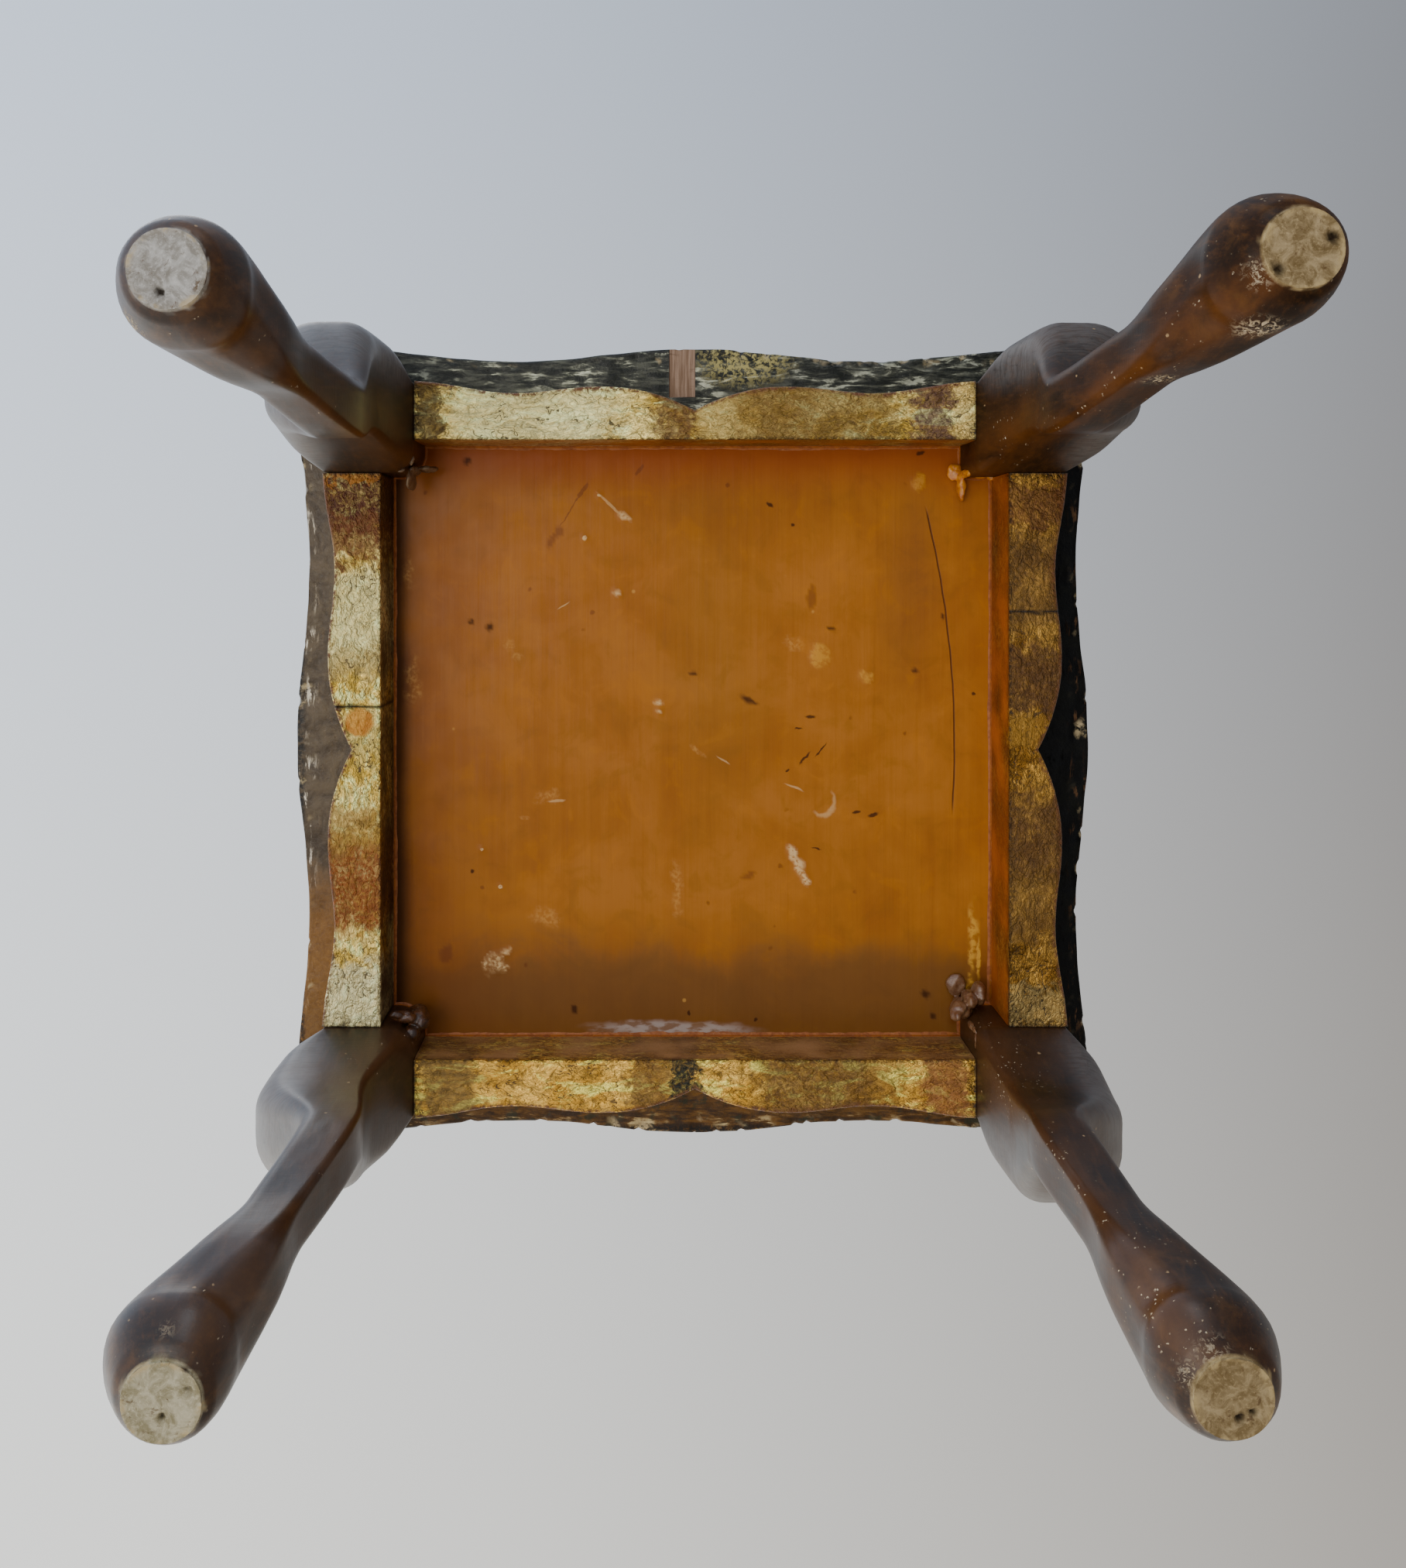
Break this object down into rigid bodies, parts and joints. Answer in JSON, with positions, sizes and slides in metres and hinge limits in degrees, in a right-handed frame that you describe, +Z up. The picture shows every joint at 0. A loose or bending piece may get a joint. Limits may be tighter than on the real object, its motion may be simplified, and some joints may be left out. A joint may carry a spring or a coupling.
{
  "type": "small table",
  "caption": "Small square gilt wooden table: a board with waving edges on cupid's-bow rails and cabriole legs with round pad feet.",
  "frame": {"origin": "on the floor under the middle of the board, feet on z = 0", "axes": "+Z up; -Y is the front, the side with the bare patch under the edge of the board; +X is the right side"},
  "size_m": [0.3321, 0.3313, 0.205],
  "materials": {
    "painted_board": "orange varnish paint below, dark green and gold above, worn",
    "gilded_rail": "crackled gold leaf over red clay, orange paint inside",
    "varnished_leg": "glossy dark brown varnish over gold, rubbed on the edges",
    "dowel_wood": "raw beech",
    "hard_glue": "hardened amber glue"
  },
  "bodies": {
    "root": {"board": "painted_board", "rail_front": "gilded_rail", "rail_back": "gilded_rail", "rail_left": "gilded_rail", "rail_right": "gilded_rail", "leg_front_left": "varnished_leg", "leg_front_right": "varnished_leg", "leg_back_left": "varnished_leg", "leg_back_right": "varnished_leg", "dowels_rail_front_left": "dowel_wood", "dowels_rail_front_right": "dowel_wood", "dowels_rail_back_left": "dowel_wood", "dowels_rail_back_right": "dowel_wood", "dowels_rail_left_front": "dowel_wood", "dowels_rail_left_back": "dowel_wood", "dowels_rail_right_front": "dowel_wood", "dowels_rail_right_back": "dowel_wood", "board_dowel_front_left": "dowel_wood", "board_dowel_front_right": "dowel_wood", "board_dowel_back_left": "dowel_wood", "board_dowel_back_right": "dowel_wood", "glue_front_left": "hard_glue", "glue_front_right": "hard_glue", "glue_back_left": "hard_glue", "glue_back_right": "hard_glue"}
  },
  "joints": []
}
